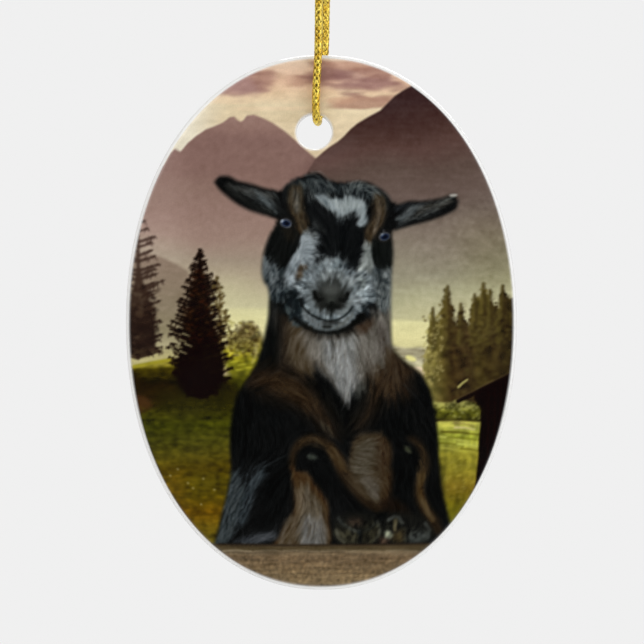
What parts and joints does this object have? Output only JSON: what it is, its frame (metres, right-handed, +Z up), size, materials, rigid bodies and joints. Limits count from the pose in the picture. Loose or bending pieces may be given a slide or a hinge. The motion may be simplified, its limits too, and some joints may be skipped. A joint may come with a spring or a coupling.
{
  "type": "oval porcelain hanging ornament",
  "caption": "Flat oval glazed porcelain ornament with a printed animal picture on its front, hung by a knotted gold metallic cord looped through a hole near its top.",
  "frame": {"origin": "the hanging point: the crotch inside the top of the cord loop, just under its knot", "axes": "+Z up along the oval's long axis, +Y out of the plain back, so the printed face looks along -Y, +X to the right of someone who looks at the print"},
  "size_m": [0.0534, 0.0072, 0.1263],
  "materials": {
    "white_glaze": "gloss",
    "printed_coat": "gloss picture print",
    "gold_cord": "metallic tinsel braid"
  },
  "bodies": {
    "hanger": {"cord_knot": "gold_cord", "cord_tail_left": "gold_cord", "cord_tail_right": "gold_cord"},
    "loop": {"cord_loop": "gold_cord"},
    "ornament": {"porcelain_plate": "white_glaze", "front_print": "printed_coat"}
  },
  "joints": [
    {"name": "loop_sway", "type": "hinge", "parent": "hanger", "child": "loop", "pos_m": [0, 0, 0], "axis": [1, 0, 0], "range_deg": [-30, 30]},
    {"name": "plate_swing", "type": "hinge", "parent": "loop", "child": "ornament", "pos_m": [-0.00054, 0, -0.04898], "axis": [0, 1, 0], "range_deg": [-90, 90]}
  ]
}
